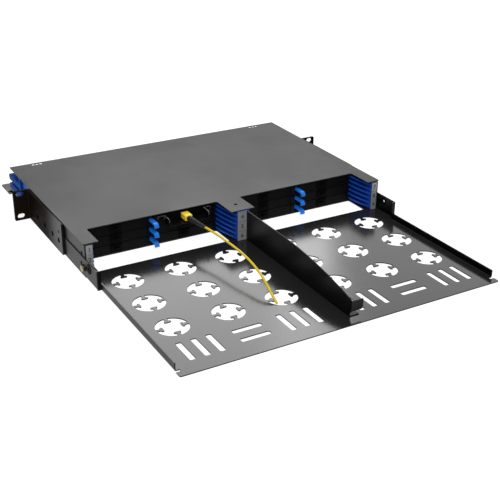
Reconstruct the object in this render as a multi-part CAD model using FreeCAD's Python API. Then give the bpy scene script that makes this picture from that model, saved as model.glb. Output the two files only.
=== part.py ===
import FreeCAD, Part
import math
import os
from FreeCAD import Vector

# Rack-mount fibre enclosure, one rack unit high, seen from its cable side.
# +X to the right, +Y towards the patching side, +Z up, millimetres.
# The origin is on the underside, on the centre line, in the plane of the rack ears.

# Case
unit_height = 43.6
sheet = 1.2
rear_depth = 200.0
front_reach = 90.0
cutout_depth = 39.6
side_tab = 19.4
centre_tab = 34.3
corner_radius = 3.0
bend_radius = 1.0
top_flange = 10.0
base_gap = 0.3
window_edge = 157.5
window_inset = 0.5
floor_reach = 92.4
tie_slot_length = 4.6
tie_slot_width = 2.6
tie_slot_pitch = 5.6
tie_slot_inset = 38.5
tie_slot_edge = 5.0
slot_corner_share = 0.3
cover_corner = 1.0
cutout_corner = 2.5

# Cable tray behind the case, its places measured from the case's near end
tray_length = 249.6
tray_overlap = 5.0
arm_step = 4.2
flange_height = 10.0
arm_height = 25.0
arm_return = 40.0
arm_end_y = 10.0
lip_depth = 12.5
relief_depth = 3.6
lip_corner = 2.5
hole_radius = 19.5
hole_pitch_x = 70.0
hole_pitch_y = 61.0
first_row = 35.5
anchor_stem = 4.0
anchor_head_length = 8.6
anchor_head_width = 3.4
anchor_head_at = 12.6
slot_width = 7.0
slot_length = 37.0
slot_pitch = 17.8
slot_group_offset = 62.0
slot_row = 209.2
cross_slot_pitch = 19.5

# Keyholes in the tray's arms and the studs that they hang on
stud_inset = 3.5
stud_z = 11.0
stud_shank_radius = 2.4
stud_head_radius = 4.5
stud_head_height = 3.0
stud_chamfer = 0.75
keyhole_out = 15.0
keyhole_z = 17.5
keyhole_radius = 5.6
stud_clearance = 0.3
plug_bore = 3.4
plug_flange = 0.6
plug_flange_radius = 6.4

# Centre divider on the tray
divider_x = 4.4
divider_gap = 1.9
divider_length = 237.2
divider_foot_length = 233.5
divider_near_height = 22.5
divider_level = 85.0
divider_head_gap = 0.2
divider_foot = 12.0
divider_tab = 14.3
divider_tab_height = 12.8
rivet_radius = 1.6
rivet_head_radius = 3.0
rivet_top_radius = 1.8
rivet_head_height = 1.0
rivet_count = 3

# Rack brackets
ear_width = 482.6
ear_reach = 23.3
ear_slot_edge = 8.75
ear_spacing_z = 31.75
ear_slot_width = 6.8
ear_slot_length = 10.2
bracket_sheet = 3.0
bracket_length = 131.0
bracket_corner = 1.5
bend_share = 0.9
screw_radius = 2.0
screw_head_radius = 3.7
screw_head_depth = 1.9
socket_share = 0.7
screw_z = 16.0
screw_ys = (118.0, 95.0, 65.0, 36.0)
lid_screw_radius = 1.4
lid_head_radius = 2.4
lid_screw_length = 7.0
lid_slot = 0.8
spare_hole_y = 120.0
spare_hole_z = 28.5
guide_screw_inset = 10.2
guide_screw_zs = (14.7, 28.2)
guide_screw_radius = 1.5
guide_screw_head = 2.4
guide_screw_sink = 0.9
guide_screw_length = 5.0
guide_boss_radius = 3.0

# Levels of the module bays
level_count = 3
level_pitch = 13.3
first_level = 6.75
guide_far_y = 45.0
guide_near_gap = 0.2
guide_nose = 1.3
guide_back = 8.0
centre_column = 17.0
guide_rib_x = 17.0
guide_wall_gap = 1.2
rib_sheet = 2.0
rib_straight_y = 160.0
flare_mid_reach = 0.71
flare_mid_run = 0.47
flare_end_reach = 0.1
label_sheet = 0.5
label_margin = 0.7

# Sliding trays and the modules in them
slide_clearance = 0.6
rail_sheet = 2.0
floor_sheet = 1.0
tray_height = 12.4
rail_top = 3.0
tongue_clearance = 0.3
tongue_inset = 3.0
slide_far_y = 10.0
mid_rail_half = 7.2
module_gap = 0.3
module_height = 11.0
module_depth = 130.0
module_corner = 1.0
port_offset = 3.85
port_width = 13.2
port_height = 8.4
port_depth = 8.0
cap_gap = 0.15
cap_flange = 1.5
cap_grip = 3.0
grip_width = 6.5
grip_height = 2.7
adapter_width = 25.4
adapter_height = 9.6
adapter_length = 20.0
adapter_gap = 0.8
socket_count = 4
socket_pitch = 6.25
socket_size = 4.9
socket_depth = 9.0
guard_inset = 11.4
guard_sheet = 1.2
guard_reach = 16.5
guard_height = 10.4
guard_ear = 9.0

# Release latches
latch_width = 6.4
latch_offset = 2.4
latch_slot_gap = 0.3
latch_slot_depth = 14.0
latch_pivot_y = 150.5
latch_pivot_z = 0.6
latch_barrel = 2.2
latch_sheet = 2.6
latch_edge = 0.5
latch_pin_radius = 1.0
latch_pin_clearance = 0.06
latch_reach = 19.0
latch_curl_radius = 3.4
latch_curl_angle = 92.0

# Patching side
finger_height = 8.4
finger_thickness = 8.0
finger_far_y = 98.2
finger_near_y = 45.6
finger_root = 6.0
finger_corner = 3.3
finger_gap = 0.4
door_side_gap = 2.6
door_hinge_y = 97.0
door_hinge_z = 4.0
door_length = 39.0
door_gap = 0.6
door_ear_length = 8.0
door_ear_corner = 4.0
hinge_pin_radius = 1.2
hinge_clearance = 0.05
lug_radius = 2.6
lug_length = 14.0

# Jumper plugged into the upper module
plug_width = 10.2
plug_height = 7.6
plug_length = 12.6
plug_corner = 1.0
plug_groove = 0.5
plug_groove_pitch = 1.8
plug_grooves = 4
collar_width = 8.4
collar_height = 6.4
collar_length = 1.5
boot_run = Vector(6.7, -32.3, -1.8)
boot_far_radius = 3.7
boot_near_radius = 1.9
boot_ring = 1.1
boot_ring_depth = 0.5
boot_rings = 6
cable_diameter = 3.0
cable_lead = 12.0
cable_arc_share = 0.45
trunk_flange = 1.4
trunk_width = 15.2
trunk_height = 9.8

# How near a plane an edge has to lie to be picked for a fillet
pick = 0.1

# Places that follow from the sizes above
cover_under = unit_height - sheet
cover_width = ear_width - 2 * ear_reach
ear_spacing_x = ear_width - 2 * ear_slot_edge
case_near_y = -rear_depth
tray_reach = rear_depth + tray_length
tray_start = rear_depth - tray_overlap
arm_return_y = rear_depth + arm_return
first_row_y = rear_depth + first_row
slot_row_y = rear_depth + slot_row
stud_y = rear_depth - stud_inset
keyhole_y = rear_depth + keyhole_out
guide_screw_y = rear_depth - guide_screw_inset
divider_near_y = rear_depth + divider_length
divider_foot_near_y = rear_depth + divider_foot_length
divider_level_y = rear_depth + divider_level
wall_outer = cover_width / 2 - sheet
wall_inner = wall_outer - sheet
arm_outer = wall_outer + sheet
tray_half = arm_outer - arm_step
door_half = wall_outer + door_side_gap + sheet
bay_outer = cover_width / 2 - side_tab
bay_inner = centre_tab / 2
guide_top = cover_under - sheet
tongue_height = level_pitch / 2 - rib_sheet - 2 * tongue_clearance
side_guide_outer = wall_inner - guide_wall_gap
side_guide_inner = side_guide_outer - guide_back
centre_guide_half = centre_column / 2
module_near_y = -window_edge + module_gap
tray_body_inner = guide_rib_x + slide_clearance
tray_body_outer = bay_outer - slide_clearance
levels = [sheet + first_level + level_pitch * i for i in range(level_count)]
module_width = (tray_body_outer - tray_body_inner) / 2 - rail_sheet - mid_rail_half - 2 * module_gap
adapter_count = int(module_width / (adapter_width + adapter_gap))
slide_centre = (tray_body_outer + tray_body_inner) / 2
group_x = slide_centre
module_offset = mid_rail_half + module_gap + module_width / 2
sides = {"left": -1, "right": 1}
level_names = ("lower", "middle", "upper")
loaded_level = levels[-1]
loaded_x = -(slide_centre - module_offset) - port_offset


def box(x0, x1, y0, y1, z0, z1):
    """Box between two corners given axis by axis, in any order."""
    low = Vector(min(x0, x1), min(y0, y1), min(z0, z1))
    return Part.makeBox(abs(x1 - x0), abs(y1 - y0), abs(z1 - z0), low)


def rod(radius, start, end):
    """Cylinder from one point to another."""
    axis = end.sub(start)
    return Part.makeCylinder(radius, axis.Length, start, axis)


def plate(points, thickness_vector):
    """Flat plate: a closed outline of points, thickened along a vector."""
    wire = Part.makePolygon(points + [points[0]])
    return Part.Face(wire).extrude(thickness_vector)


def fuse(shapes):
    """Join touching pieces of one moulding or sheet into one solid."""
    joined = shapes[0].multiFuse(shapes[1:]) if len(shapes) > 1 else shapes[0]
    return joined.removeSplitter()


def mirror_x(shape):
    """The opposite-hand copy across the centre line."""
    return shape.mirror(Vector(0, 0, 0), Vector(1, 0, 0))


def edges_along(shape, axis, test):
    """Straight edges along one axis whose middle passes a test."""
    found = []
    for edge in shape.Edges:
        if not isinstance(edge.Curve, Part.Line):
            continue
        step = edge.Vertexes[-1].Point.sub(edge.Vertexes[0].Point)
        if abs(getattr(step, axis)) > 0.999 * step.Length and test(edge.CenterOfMass):
            found.append(edge)
    return found


def rounded_slot(length, width, z0, z1, centre, along_x):
    """Slot with small round corners through a flat sheet."""
    half_x, half_y = (length / 2, width / 2) if along_x else (width / 2, length / 2)
    body = box(centre.x - half_x, centre.x + half_x, centre.y - half_y, centre.y + half_y, z0, z1)
    return body.makeFillet(width * slot_corner_share, edges_along(body, "z", lambda p: True))


def base_channel():
    """The folded case: floor, both walls and the flanges that carry the cover."""
    outer = box(-wall_outer, wall_outer, case_near_y, 0, 0, cover_under)
    outer = outer.makeFillet(bend_radius + sheet, edges_along(outer, "y", lambda p: True))
    inner = box(-wall_inner, wall_inner, case_near_y - sheet, sheet, sheet, cover_under - sheet)
    inner = inner.makeFillet(bend_radius, edges_along(inner, "y", lambda p: True))
    opening = wall_inner - top_flange
    top = box(-opening, opening, case_near_y - sheet, sheet, sheet, unit_height)
    front = box(-wall_outer, wall_outer, -sheet, floor_reach, 0, sheet)
    return fuse([outer.cut(inner).cut(top), front])


def hinge_lug(side):
    """Upright ear at a front corner of the floor that holds a door pin."""
    x0, x1 = side * wall_outer, side * (wall_outer - sheet)
    near = door_hinge_y - lug_length
    body = box(x0, x1, near, door_hinge_y, sheet, door_hinge_z + lug_radius)
    body = body.cut(box(x0 - side, x1 + side, floor_reach - door_gap, door_hinge_y, 0,
                        door_hinge_z - lug_radius))
    nose = rod(lug_radius, Vector(x0, door_hinge_y, door_hinge_z), Vector(x1, door_hinge_y, door_hinge_z))
    return fuse([body, nose])


def chassis():
    """The folded case with its bay windows, stud holes and door lugs."""
    shape = base_channel()
    edge_near = case_near_y - sheet
    inner = wall_inner - bend_radius
    shape = shape.cut(box(-inner, inner, edge_near, -(tray_start - base_gap), -sheet, sheet))
    for side in sides.values():
        window = box(side * (bay_inner - window_inset), side * (bay_outer + window_inset), edge_near,
                     -window_edge, -sheet, 2 * sheet)
        far = edges_along(window, "z", lambda p: p.y > -window_edge - sheet)
        shape = shape.cut(window.makeFillet(corner_radius, far))
    shape = fuse([shape] + [hinge_lug(side) for side in sides.values()])
    holes = [rod(hinge_pin_radius, Vector(-cover_width, door_hinge_y, door_hinge_z),
                 Vector(cover_width, door_hinge_y, door_hinge_z))]
    holes += [wall_hole(side, stud_shank_radius, stud_y, stud_z) for side in sides.values()]
    holes += [wall_hole(side, screw_radius, y, screw_z) for side in sides.values() for y in screw_ys]
    holes += guide_screws()
    return shape.cut(Part.makeCompound(holes))


def wall_hole(side, radius, y, z):
    """Cutter across one side wall, its arm and its bracket."""
    reach = cover_width
    return rod(radius, Vector(side * bay_outer, -y, z), Vector(side * reach, -y, z))


def top_cover():
    """Flat lid with a cut-out over each bay and small tie slots at its far edge."""
    shape = box(-cover_width / 2, cover_width / 2, case_near_y, front_reach, cover_under, unit_height)
    for side in sides.values():
        cut = box(side * bay_inner, side * bay_outer, case_near_y - sheet, case_near_y + cutout_depth,
                  cover_under - sheet, unit_height + sheet)
        far = edges_along(cut, "z", lambda p: p.y > case_near_y)
        shape = shape.cut(cut.makeFillet(cutout_corner, far))
        for k in (-1, 0, 1):
            x = side * (cover_width / 2 - tie_slot_inset) + k * tie_slot_pitch
            centre = Vector(x, front_reach - tie_slot_edge, 0)
            shape = shape.cut(rounded_slot(tie_slot_length, tie_slot_width, cover_under - sheet,
                                           unit_height + sheet, centre, True))
    free = edges_along(shape, "z", lambda p: p.y < case_near_y + pick or p.y > front_reach - pick)
    return shape.makeFillet(cover_corner, free).cut(cover_screw_cutter())


def cover_screw_cutter():
    """Countersunk hole at the centre tab."""
    y = case_near_y + cutout_depth / 2
    return Part.makeCone(lid_screw_radius, lid_head_radius, sheet, Vector(0, y, cover_under), Vector(0, 0, 1))


def anchor(angle):
    """Mushroom tab that points into a cable hole: a stem with a round-ended head across it."""
    stem = box(anchor_head_at, hole_radius + sheet, -anchor_stem / 2, anchor_stem / 2, 0, sheet)
    half = (anchor_head_length - anchor_head_width) / 2
    radius = anchor_head_width / 2
    bar = box(anchor_head_at - radius, anchor_head_at + radius, -half, half, 0, sheet)
    ends = [Part.makeCylinder(radius, sheet, Vector(anchor_head_at, s * half, 0)) for s in (-1, 1)]
    shape = fuse([stem, bar] + ends)
    shape.rotate(Vector(0, 0, 0), Vector(0, 0, 1), angle)
    return shape


def cable_hole():
    """Cutter for one cable hole, with four mushroom tabs left standing in it."""
    disc = Part.makeCylinder(hole_radius, sheet)
    return disc.cut(Part.makeCompound([anchor(90 * k) for k in range(4)]))


def tray_perforations():
    """All cable holes and strap slots of the cable tray."""
    cutters = []
    pattern = cable_hole()
    for side in sides.values():
        for column in (-1, 0, 1):
            x = side * group_x + column * hole_pitch_x
            for row in range(3):
                hole = pattern.copy()
                hole.translate(Vector(x, -first_row_y - row * hole_pitch_y, 0))
                cutters.append(hole)
            for group in (-1, 1):
                x = side * group_x + group * slot_group_offset + column * slot_pitch
                centre = Vector(x, -slot_row_y, 0)
                cutters.append(rounded_slot(slot_length, slot_width, 0, sheet, centre, False))
        for row in (-1, 1):
            centre = Vector(side * group_x, -slot_row_y + row * cross_slot_pitch / 2, 0)
            cutters.append(rounded_slot(slot_length, slot_width, 0, sheet, centre, True))
    return cutters


def folded_edge(outer_x, height, y0, y1):
    """Strip of the tray's side: the bend up from the floor and the upright leg."""
    radius = bend_radius + sheet
    body = box(outer_x - 3 * radius, outer_x, y0, y1, 0, height)
    body = body.makeFillet(radius, edges_along(body, "y", lambda p: p.x > outer_x - sheet and p.z < sheet))
    inner = box(outer_x - 4 * radius, outer_x - sheet, y0 - sheet, y1 + sheet, sheet, height + sheet)
    inner = inner.makeFillet(bend_radius, edges_along(
        inner, "y", lambda p: p.x > outer_x - 2 * sheet and p.z < 2 * sheet))
    return body.cut(inner)


def tray_arm():
    """Right-hand arm of the tray: return at its near end, and the long leg beside the case wall."""
    near = -arm_return_y
    beside = case_near_y - base_gap
    folded = folded_edge(arm_outer, arm_height, near, beside)
    turned = box(tray_half - sheet, arm_outer, near, near + sheet, 0, arm_height)
    turned = turned.makeFillet(bend_radius, edges_along(
        turned, "z", lambda p: p.x > arm_outer - sheet and p.y < near + sheet / 2))
    folded = folded.common(box(0, arm_outer, near + sheet / 2, beside, 0, arm_height))
    leg = box(wall_outer, arm_outer, beside - sheet, -arm_end_y, 0, arm_height)
    return fuse([folded, turned, leg])


def tray_side():
    """Right-hand edge of the tray: low flange, arm and keyhole."""
    flange_near = -(tray_reach - lip_depth)
    flange = folded_edge(tray_half, flange_height, flange_near, -arm_return_y + sheet)
    shape = fuse([flange, tray_arm()])
    big = rod(keyhole_radius, Vector(wall_inner - sheet, -keyhole_y, keyhole_z),
              Vector(arm_outer + sheet, -keyhole_y, keyhole_z))
    radius = stud_shank_radius + stud_clearance
    run = Vector(0, keyhole_y - stud_y, stud_z - keyhole_z)
    across = Vector(0, -run.z, run.y).normalize().multiply(radius)
    start = Vector(wall_inner - sheet, -keyhole_y, keyhole_z)
    end = start.add(run)
    slot = plate([start.add(across), end.add(across), end.sub(across), start.sub(across)],
                 Vector(arm_outer - wall_inner + 2 * sheet, 0, 0))
    seat = rod(radius, end, end.add(Vector(arm_outer - wall_inner + 2 * sheet, 0, 0)))
    shape = shape.cut(Part.makeCompound([big, slot, seat]))
    holes = [wall_hole(1, screw_radius, y, screw_z) for y in screw_ys]
    holes.append(wall_hole(1, guide_boss_radius, guide_screw_y, guide_screw_zs[0]))
    return shape.cut(Part.makeCompound(holes))


def tray_floor():
    """Flat floor of the cable tray with its bare near lip and bend reliefs."""
    near, far = -tray_reach, -tray_start
    half = tray_half - bend_radius - sheet
    beside = case_near_y - base_gap
    wide = arm_outer - bend_radius - sheet
    relief_far = near + lip_depth
    lip = box(-tray_half, tray_half, near, relief_far - relief_depth, 0, sheet)
    lip = lip.makeFillet(lip_corner, edges_along(lip, "z", lambda p: p.y < near + sheet))
    parts = [lip, box(-half + relief_depth, half - relief_depth, near + sheet, relief_far + sheet, 0, sheet)]
    parts.append(box(-half, half, relief_far, far, 0, sheet))
    parts.append(box(-wide, wide, -arm_return_y + sheet / 2, beside, 0, sheet))
    shape = fuse(parts)
    return shape.cut(Part.makeCompound(tray_perforations()))


def cable_tray():
    """The perforated tray that carries and ties the cables behind the case."""
    side = tray_side()
    holes = [rod(rivet_radius, Vector(p.x, p.y, 0), Vector(p.x, p.y, sheet)) for p in rivet_places()]
    shape = fuse([tray_floor(), side, mirror_x(side)])
    return shape.cut(Part.makeCompound(holes))


def rivet_places():
    """Rivets through the divider's foot, evenly spaced along it."""
    x = divider_x + sheet + divider_foot / 2
    near, far = -divider_foot_near_y, case_near_y - divider_gap
    step = (far - near) / (rivet_count + 1)
    return [Vector(x, near + step * (k + 1), sheet) for k in range(rivet_count)]


def centre_divider():
    """Upright fin with a curved top edge, a foot to rivet down and a tab turned at its near end."""
    far, near = case_near_y - divider_gap, -divider_near_y
    level, top = -divider_level_y, cover_under - divider_head_gap
    drop, run = top - divider_near_height, level - near
    radius = (run * run + drop * drop) / (2 * drop)
    middle = math.asin(run / radius) / 2
    x = divider_x
    foot_z = sheet
    tab_low = divider_near_height - divider_tab_height
    corner = [Vector(x, far, foot_z), Vector(x, far, top), Vector(x, level, top)]
    arc_mid = Vector(x, level - radius * math.sin(middle), top - radius * (1 - math.cos(middle)))
    arc_end = Vector(x, near, divider_near_height)
    edges = [Part.makeLine(corner[0], corner[1]), Part.makeLine(corner[1], corner[2]),
             Part.Arc(corner[2], arc_mid, arc_end).toShape()]
    foot_near = -divider_foot_near_y
    rest = [arc_end, Vector(x, near, tab_low), Vector(x, foot_near, tab_low - (foot_near - near)),
            Vector(x, foot_near, foot_z), corner[0]]
    edges += [Part.makeLine(a, b) for a, b in zip(rest, rest[1:])]
    fin = Part.Face(Part.Wire(edges)).extrude(Vector(sheet, 0, 0))
    foot = box(x, x + sheet + divider_foot, far, foot_near, foot_z, foot_z + sheet)
    bend = edges_along(foot, "y", lambda p: p.x < x + sheet and p.z < foot_z + pick)
    foot = foot.makeFillet(bend_radius, bend)
    fin = fin.cut(box(x - sheet, x + sheet / 2, far, foot_near, foot_z - sheet, foot_z + sheet / 2))
    tab = box(x, x + sheet + divider_tab, near, near + sheet, tab_low, divider_near_height)
    corner = edges_along(tab, "y", lambda p: p.x > x + divider_tab and p.z < tab_low + pick)
    tab = tab.makeFillet(corner_radius, corner)
    shape = fuse([fin, foot, tab])
    holes = [rod(rivet_radius, p, p.add(Vector(0, 0, sheet))) for p in rivet_places()]
    return shape.cut(Part.makeCompound(holes))


def divider_rivets():
    """Flat-headed rivets that hold the divider's foot to the tray."""
    rivets = []
    for place in rivet_places():
        foot_top = place.add(Vector(0, 0, sheet))
        shank = rod(rivet_radius, Vector(place.x, place.y, 0), foot_top)
        head = Part.makeCone(rivet_head_radius, rivet_top_radius, rivet_head_height, foot_top,
                             Vector(0, 0, 1))
        rivets.append(fuse([shank, head]))
    return rivets


def rack_bracket():
    """Right-hand bracket: a long leg on the case side and an ear with two slots."""
    inner, outer = arm_outer, arm_outer + bracket_sheet
    leg = box(inner, outer, -bracket_length, bracket_sheet, 0, cover_under)
    ear = box(inner, ear_width / 2, 0, bracket_sheet, 0, cover_under)
    shape = fuse([leg, ear])
    bend = edges_along(shape, "z", lambda p: p.x < inner + pick and p.y > bracket_sheet - pick)
    shape = shape.makeFillet(bracket_sheet * bend_share, bend)
    tip = edges_along(shape, "y", lambda p: p.x > ear_width / 2 - pick)
    shape = shape.makeFillet(bracket_corner, tip)
    near = edges_along(shape, "x", lambda p: p.y < -bracket_length + pick)
    shape = shape.makeFillet(bracket_corner, near)
    half = ear_slot_length / 2 - ear_slot_width / 2
    cutters = [wall_hole(1, screw_radius, spare_hole_y, spare_hole_z)]
    for k in (-1, 1):
        z = unit_height / 2 + k * ear_spacing_z / 2
        middle = ear_spacing_x / 2
        ends = [Vector(middle - half, -sheet, z), Vector(middle + half, -sheet, z)]
        through = Vector(0, bracket_sheet + 2 * sheet, 0)
        cutters += [rod(ear_slot_width / 2, end, end.add(through)) for end in ends]
        cutters.append(box(ends[0].x, ends[1].x, -sheet, bracket_sheet + sheet, z - ear_slot_width / 2,
                           z + ear_slot_width / 2))
    for y in screw_ys:
        cutters.append(wall_hole(1, screw_radius, y, screw_z))
        cutters.append(screw_head(1, y, 0))
    return shape.cut(Part.makeCompound(cutters))


def screw_head(side, y, socket):
    """Countersunk head in a bracket's outer face, with an optional hexagon socket."""
    outer = arm_outer + bracket_sheet
    base = Vector(side * (outer - screw_head_depth), -y, screw_z)
    head = Part.makeCone(screw_radius, screw_head_radius, screw_head_depth, base, Vector(side, 0, 0))
    if not socket:
        return head
    points = [Vector(side * outer, -y + socket * math.cos(math.radians(60 * k)),
                     screw_z + socket * math.sin(math.radians(60 * k))) for k in range(6)]
    return head.cut(plate(points, Vector(-side * screw_head_depth * socket_share, 0, 0)))


def guide_screws():
    """Small countersunk screws through the case walls into the side guides."""
    screws = []
    for side in sides.values():
        for z in guide_screw_zs:
            deep, neck, face = [Vector(side * x, -guide_screw_y, z) for x in (
                side_guide_outer - guide_screw_length, wall_outer - guide_screw_sink, wall_outer)]
            head = Part.makeCone(guide_screw_radius, guide_screw_head, guide_screw_sink, neck,
                                 face.sub(neck))
            screws.append(fuse([rod(guide_screw_radius, deep, neck), head]))
    return screws


def case_fasteners():
    """All small fasteners: screws of the brackets, lid and side guides, and the divider's rivets."""
    screws = []
    for side in sides.values():
        for y in screw_ys:
            base = Vector(side * wall_inner, -y, screw_z)
            neck = Vector(side * (arm_outer + bracket_sheet - screw_head_depth), -y, screw_z)
            shank = rod(screw_radius, base, neck)
            screws.append(fuse([shank, screw_head(side, y, screw_radius * socket_share)]))
    y = case_near_y + cutout_depth / 2
    shank = rod(lid_screw_radius, Vector(0, y, cover_under - lid_screw_length), Vector(0, y, cover_under))
    head = cover_screw_cutter()
    slot = box(-lid_head_radius, lid_head_radius, y - lid_slot / 2, y + lid_slot / 2,
               unit_height - lid_slot / 2, unit_height + sheet)
    screws.append(fuse([shank, head]).cut(slot))
    return Part.makeCompound(screws + guide_screws() + divider_rivets())


def keyhole_studs():
    """Brass shoulder studs in the case wall, in the narrow end of each keyhole."""
    studs = []
    for side in sides.values():
        base = Vector(side * wall_inner, -stud_y, stud_z)
        face = Vector(side * (arm_outer + stud_clearance / 2), -stud_y, stud_z)
        top = face.add(Vector(side * stud_head_height, 0, 0))
        head = rod(stud_head_radius, face, top)
        rim = [e for e in head.Edges if abs(e.CenterOfMass.x - top.x) < pick and e.Length > stud_head_radius]
        studs.append(fuse([rod(stud_shank_radius, base, face), head.makeChamfer(stud_chamfer, rim)]))
    return Part.makeCompound(studs)


def keyhole_plugs():
    """Black ring pushed into the round end of each keyhole, so that the tray can't lift off."""
    plugs = []
    for side in sides.values():
        inner, face, outer = [Vector(side * x, -keyhole_y, keyhole_z) for x in (
            wall_outer, arm_outer, arm_outer + plug_flange)]
        ring = fuse([rod(keyhole_radius, inner, face), rod(plug_flange_radius, face, outer)])
        plugs.append(ring.cut(rod(plug_bore, inner, outer)))
    return Part.makeCompound(plugs)


def guide_rib(tip_x, root_x, z):
    """One rib of a guide: straight along the bay, then a quarter-round lead-in to the near end."""
    near, far = case_near_y + guide_near_gap, guide_far_y
    bend = -rib_straight_y
    reach = abs(tip_x - root_x)
    inward = 1 if tip_x > root_x else -1
    length = bend - near
    mid = Vector(root_x + inward * reach * flare_mid_reach, bend - length * flare_mid_run, z)
    start, end = Vector(tip_x, bend, z), Vector(root_x + inward * reach * flare_end_reach, near, z)
    edges = [Part.Arc(start, mid, end).toShape()]
    root = root_x - inward
    rest = [end, Vector(root, near, z), Vector(root, far, z), Vector(tip_x, far, z), start]
    edges += [Part.makeLine(a, b) for a, b in zip(rest, rest[1:])]
    return Part.Face(Part.Wire(edges)).extrude(Vector(0, 0, rib_sheet))


def ribs(tip_x, root_x):
    """A pair of ribs for each level, a channel apart."""
    found = []
    for level in levels:
        for k in (-1, 1):
            found.append(guide_rib(tip_x, root_x, level + k * level_pitch / 4 - rib_sheet / 2))
    return found


def side_guide():
    """Right-hand blue side guide between floor and flange."""
    near = case_near_y + guide_near_gap
    back = box(side_guide_inner, side_guide_outer, near, guide_far_y, sheet, guide_top)
    bosses = []
    for z in guide_screw_zs:
        base = Vector(side_guide_outer, -guide_screw_y, z)
        bosses.append(rod(guide_boss_radius, base, base.add(Vector(guide_wall_gap, 0, 0))))
    shape = fuse([back] + bosses + ribs(bay_outer, side_guide_inner))
    return shape.cut(Part.makeCompound(guide_screws()))


def centre_guide():
    """Blue centre column with ribs to both bays."""
    half = centre_guide_half
    back = box(-half, half, case_near_y - guide_nose, guide_far_y, sheet, cover_under)
    shape = fuse([back] + ribs(guide_rib_x, half) + ribs(-guide_rib_x, -half))
    y = case_near_y + cutout_depth / 2
    top = Vector(0, y, cover_under)
    return shape.cut(rod(lid_screw_radius, top.sub(Vector(0, 0, lid_screw_length)), top))


def label(x0, x1, face, top):
    """Thin numbered strip on the near end of a guide."""
    return box(x0, x1, face - label_sheet, face, sheet + label_margin, top - label_margin)


def slide_frame(side, level):
    """Frame of one sliding tray: floor, two rails with tongues, mid rail with the latch slot."""
    near, far = -window_edge, slide_far_y
    low, high = level - tray_height / 2, level + tray_height / 2
    x_in, x_out = side * tray_body_inner, side * tray_body_outer
    middle = side * slide_centre
    parts = [box(x_in, x_out, near, far, low, low + floor_sheet)]
    for x, tongue_to, back in ((x_in, side * (centre_guide_half + slide_clearance), side),
                               (x_out, side * (side_guide_inner - slide_clearance), -side)):
        parts.append(box(x, x + back * rail_sheet, near, far, low, level + rail_top))
        parts.append(box(x, tongue_to, near + tongue_inset, far - tongue_inset,
                         level - tongue_height / 2, level + tongue_height / 2))
    parts.append(box(middle - mid_rail_half, middle + mid_rail_half, near, far, low, high - floor_sheet))
    lip_top = low + floor_sheet + rail_top
    parts.append(box(x_in, x_out, far - rail_sheet, far, low, lip_top))
    shape = fuse(parts)
    half = latch_width / 2 + latch_slot_gap
    latch_x = middle + side * latch_offset
    slot = box(latch_x - half, latch_x + half, near - sheet, near + latch_slot_depth, low + floor_sheet, high)
    pin = rod(latch_pin_radius + latch_pin_clearance,
              Vector(middle - mid_rail_half, -latch_pivot_y, level + latch_pivot_z),
              Vector(middle + mid_rail_half, -latch_pivot_y, level + latch_pivot_z))
    return shape.cut(slot).cut(pin)


def module(side, level, outward):
    """One fibre module: a flat housing with a trunk port in its rear face."""
    x = side * (slide_centre + outward * module_offset)
    half = module_width / 2
    near = module_near_y
    low = level - tray_height / 2 + floor_sheet
    body = box(x - half, x + half, near, near + module_depth, low, low + module_height)
    body = body.makeFillet(module_corner, edges_along(body, "z", lambda p: True))
    port_x = x - port_offset
    port = box(port_x - port_width / 2, port_x + port_width / 2, near - sheet, near + port_depth,
               level - port_height / 2, level + port_height / 2)
    return body.cut(port)


def trunk_cap(x, level):
    """Dust cap in an unused trunk port: a plug, a flange and a grip."""
    face = module_near_y
    half, tall = port_width / 2 - cap_gap, port_height / 2 - cap_gap
    plug = box(x - half, x + half, face, face + port_depth - cap_gap, level - tall, level + tall)
    flange = box(x - trunk_width / 2, x + trunk_width / 2, face - cap_flange, face, level - trunk_height / 2,
                 level + trunk_height / 2)
    grip = box(x - grip_width / 2, x + grip_width / 2, face - cap_flange - cap_grip, face - cap_flange,
               level - grip_height / 2, level + grip_height / 2)
    return fuse([plug, flange, grip])


def dust_caps(side, level, loaded):
    """All dust caps of one sliding tray: duplex caps in front, trunk caps behind."""
    caps = []
    face = module_near_y + module_depth + adapter_length
    middle = level - tray_height / 2 + floor_sheet + adapter_height / 2
    half = socket_size / 2 - cap_gap
    for outward in (-1, 1):
        centre = side * (slide_centre + outward * module_offset)
        if not (loaded and outward < 0):
            caps.append(trunk_cap(centre - port_offset, level))
        for x in adapter_places(centre):
            for pair in (-1, 1):
                cap_x = x + pair * socket_pitch
                ports = [cap_x - socket_pitch / 2, cap_x + socket_pitch / 2]
                pieces = [box(p - half, p + half, face - socket_depth + cap_gap, face,
                              middle - half, middle + half) for p in ports]
                pieces.append(box(ports[0] - half, ports[1] + half, face, face + cap_flange + cap_grip,
                                  middle - half, middle + half))
                caps.append(fuse(pieces))
    return Part.makeCompound(caps)


def adapter_places(centre):
    """Centres of the quad adapters along one module."""
    pitch = module_width / adapter_count
    return [centre + pitch * (k - (adapter_count - 1) / 2) for k in range(adapter_count)]


def front_adapters(side, level):
    """Row of quad adapters on the patching side of both modules of one tray."""
    found = []
    face = module_near_y + module_depth
    end = face + adapter_length
    low = level - tray_height / 2 + floor_sheet
    middle = low + adapter_height / 2
    half = socket_size / 2
    for outward in (-1, 1):
        for x in adapter_places(side * (slide_centre + outward * module_offset)):
            block = box(x - adapter_width / 2, x + adapter_width / 2, face, end, low, low + adapter_height)
            sockets = []
            for k in range(socket_count):
                centre = x + (k - (socket_count - 1) / 2) * socket_pitch
                sockets.append(box(centre - half, centre + half, end - socket_depth, end + sheet,
                                   middle - half, middle + half))
            found.append(block.cut(Part.makeCompound(sockets)))
    return Part.makeCompound(found)


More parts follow.
